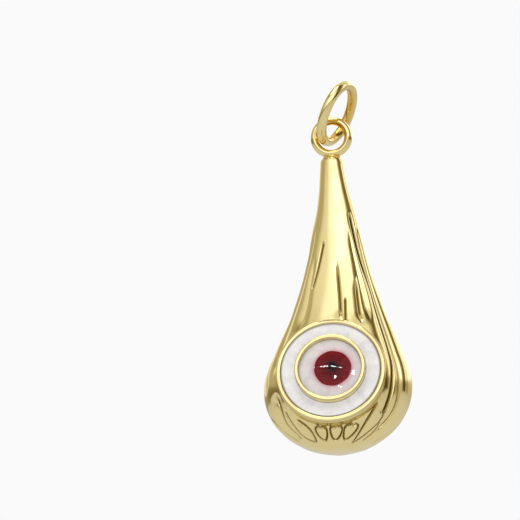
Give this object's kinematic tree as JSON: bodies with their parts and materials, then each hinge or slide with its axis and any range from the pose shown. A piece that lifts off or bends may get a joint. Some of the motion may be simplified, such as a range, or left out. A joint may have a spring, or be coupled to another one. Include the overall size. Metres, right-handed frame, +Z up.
{
  "type": "evil eye pendant",
  "caption": "Pleated gold teardrop pendant with a round white, red and black enamelled eye in its front and a loose jump ring in the eyelet at its top",
  "frame": {"origin": "the centre of the eyelet's hole, where the drop hangs", "axes": "+Z up along the drop's long axis, -Y the way the eye looks, +X to the right of somebody who faces the eye"},
  "size_m": [0.0152, 0.0126, 0.0393],
  "materials": {
    "gold_plate": "brass with a polished pale yellow gold plate",
    "white_enamel": "glossy white cold enamel",
    "red_enamel": "glossy dark red enamel",
    "black_enamel": "glossy black enamel",
    "clear_resin": "clear domed resin"
  },
  "bodies": {
    "drop": {"back_shell": "gold_plate", "front_shell": "gold_plate", "eye_cup": "gold_plate", "outer_enamel": "white_enamel", "inner_bezel": "gold_plate", "inner_enamel": "white_enamel", "iris": "red_enamel", "pupil": "black_enamel", "clear_dome": "clear_resin", "eyelet": "gold_plate"},
    "ring": {"jump_ring": "gold_plate"}
  },
  "joints": [
    {"name": "ring_swing", "type": "hinge", "parent": "drop", "child": "ring", "pos_m": [-0.00065, 0, -0.00033], "axis": [0.2079, 0.9781, 0], "range_deg": [-186, 122]}
  ]
}
